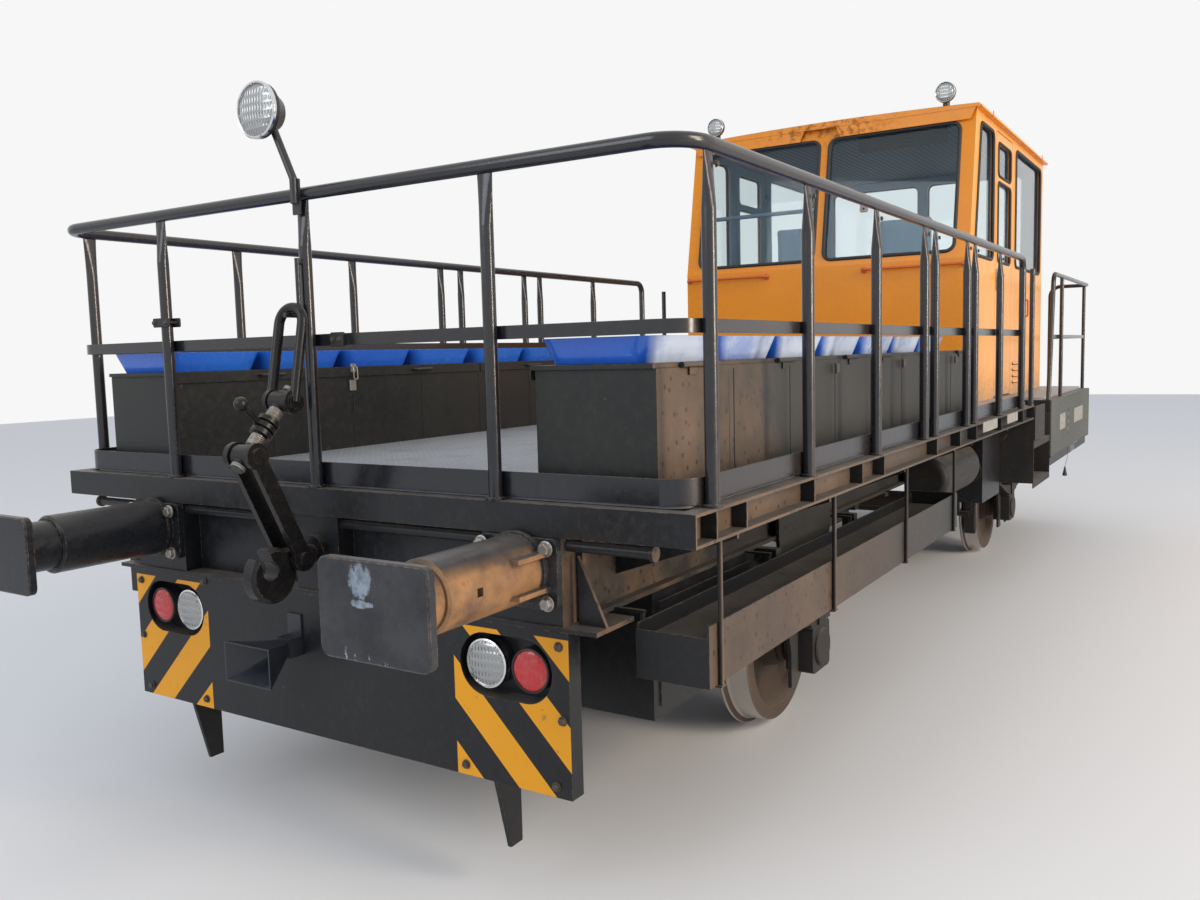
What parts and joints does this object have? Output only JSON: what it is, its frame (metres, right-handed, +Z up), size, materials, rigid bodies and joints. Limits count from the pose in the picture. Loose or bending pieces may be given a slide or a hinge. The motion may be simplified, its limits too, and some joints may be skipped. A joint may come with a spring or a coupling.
{
  "type": "motor rail trolley",
  "caption": "Track maintenance rail trolley with a railed open deck, bench boxes with seats, a crew cab and side walkways, on axles with buffers and draw hooks",
  "frame": {"origin": "middle of the floor box, at the height of the wheel flanges' lowest point", "axes": "+X from the open deck end to the cab end, +Y to the left side, +Z up"},
  "size_m": [9.34, 2.9418, 3.518],
  "materials": {
    "black_frame": "satin, dusty, chipped at the edges",
    "black_rail": "gloss, thin dust on top",
    "grey_sill": "worn paint, tan dust",
    "deck_plate": "checker plate, scuffed",
    "bench_paint": "satin, dusty",
    "cab_orange": "gloss, light dust",
    "seat_blue": "moulded, light scuffs",
    "buffer_paint": "chipped, rust on the sleeve",
    "hook_black": "greasy black",
    "wheel_steel": "brown dust, bright tread",
    "skirt_striped": "black and orange-yellow stripes",
    "lamp_lens": "red and clear lenses",
    "lamp_housing": "reflector and rim",
    "glass_tint": "light tint",
    "cab_inside": "plain",
    "seat_grey": "woven, padded",
    "under_grey": "dusty underframe paint"
  },
  "bodies": {
    "vehicle": {"main_frame": "black_frame", "outriggers": "black_frame", "deck_edge_frame": "grey_sill", "deck_floor": "deck_plate", "end_skirts": "skirt_striped", "marker_lamps": "lamp_lens", "buffers": "buffer_paint", "draw_hooks": "hook_black", "leaf_springs": "under_grey", "axle_boxes": "under_grey", "brake_gear": "under_grey", "tool_troughs": "black_frame", "equipment_boxes": "black_frame", "tanks": "under_grey", "engine_block": "under_grey", "top_rail": "black_rail", "railing_posts": "black_rail", "railing_bars": "black_rail", "walkway_railings": "black_rail", "work_lamps": "lamp_housing", "horn": "under_grey", "cab_front": "cab_orange", "cab_rear": "cab_orange", "cab_roof": "cab_orange", "cab_glass": "glass_tint", "cab_seat_frames": "cab_inside", "cab_cushions": "seat_grey", "driver_desk": "cab_inside", "side_panels": "black_frame", "entry_steps": "under_grey", "bench_box_right": "bench_paint", "cab_side_right": "cab_orange", "bench_box_left": "bench_paint", "cab_side_left": "cab_orange"},
    "door_right": {"cab_door_right": "cab_orange", "door_glass_right": "glass_tint"},
    "lid_right_front": {"lid_right_front": "bench_paint", "seats_right_front": "seat_blue"},
    "lid_right_rear": {"lid_right_rear": "bench_paint", "seats_right_rear": "seat_blue"},
    "door_left": {"cab_door_left": "cab_orange", "door_glass_left": "glass_tint"},
    "lid_left_front": {"lid_left_front": "bench_paint", "seats_left_front": "seat_blue"},
    "lid_left_rear": {"lid_left_rear": "bench_paint", "seats_left_rear": "seat_blue"},
    "wheelset_front": {"wheelset_front": "wheel_steel"},
    "wheelset_rear": {"wheelset_rear": "wheel_steel"},
    "coupling_front": {"coupling_front": "hook_black"},
    "coupling_rear": {"coupling_rear": "hook_black"}
  },
  "joints": [
    {"name": "wheelset_front_spin", "type": "hinge", "parent": "vehicle", "child": "wheelset_front", "pos_m": [-2.213, 0, 0.388], "axis": [0, 1, 0], "continuous": true},
    {"name": "wheelset_rear_spin", "type": "hinge", "parent": "vehicle", "child": "wheelset_rear", "pos_m": [2.213, 0, 0.388], "axis": [0, 1, 0], "continuous": true},
    {"name": "coupling_front_drop", "type": "hinge", "parent": "vehicle", "child": "coupling_front", "pos_m": [-4.158, 0, 1.048], "axis": [0, -1, 0], "range_deg": [0, 95]},
    {"name": "coupling_rear_drop", "type": "hinge", "parent": "vehicle", "child": "coupling_rear", "pos_m": [4.158, 0, 1.048], "axis": [0, 1, 0], "range_deg": [0, 95]},
    {"name": "lid_right_front_lift", "type": "hinge", "parent": "vehicle", "child": "lid_right_front", "pos_m": [0, -1.297, 1.6623], "axis": [1, 0, 0], "range_deg": [0, 80]},
    {"name": "lid_right_rear_lift", "type": "hinge", "parent": "vehicle", "child": "lid_right_rear", "pos_m": [0, -1.297, 1.6623], "axis": [1, 0, 0], "range_deg": [0, 80]},
    {"name": "door_right_swing", "type": "hinge", "parent": "vehicle", "child": "door_right", "pos_m": [2.325, -1.024, 2.27], "axis": [0, 0, -1], "range_deg": [0, 85]},
    {"name": "lid_left_front_lift", "type": "hinge", "parent": "vehicle", "child": "lid_left_front", "pos_m": [0, 1.297, 1.6623], "axis": [-1, 0, 0], "range_deg": [0, 80]},
    {"name": "lid_left_rear_lift", "type": "hinge", "parent": "vehicle", "child": "lid_left_rear", "pos_m": [0, 1.297, 1.6623], "axis": [-1, 0, 0], "range_deg": [0, 80]},
    {"name": "door_left_swing", "type": "hinge", "parent": "vehicle", "child": "door_left", "pos_m": [2.325, 1.024, 2.27], "axis": [0, 0, 1], "range_deg": [0, 85]}
  ]
}
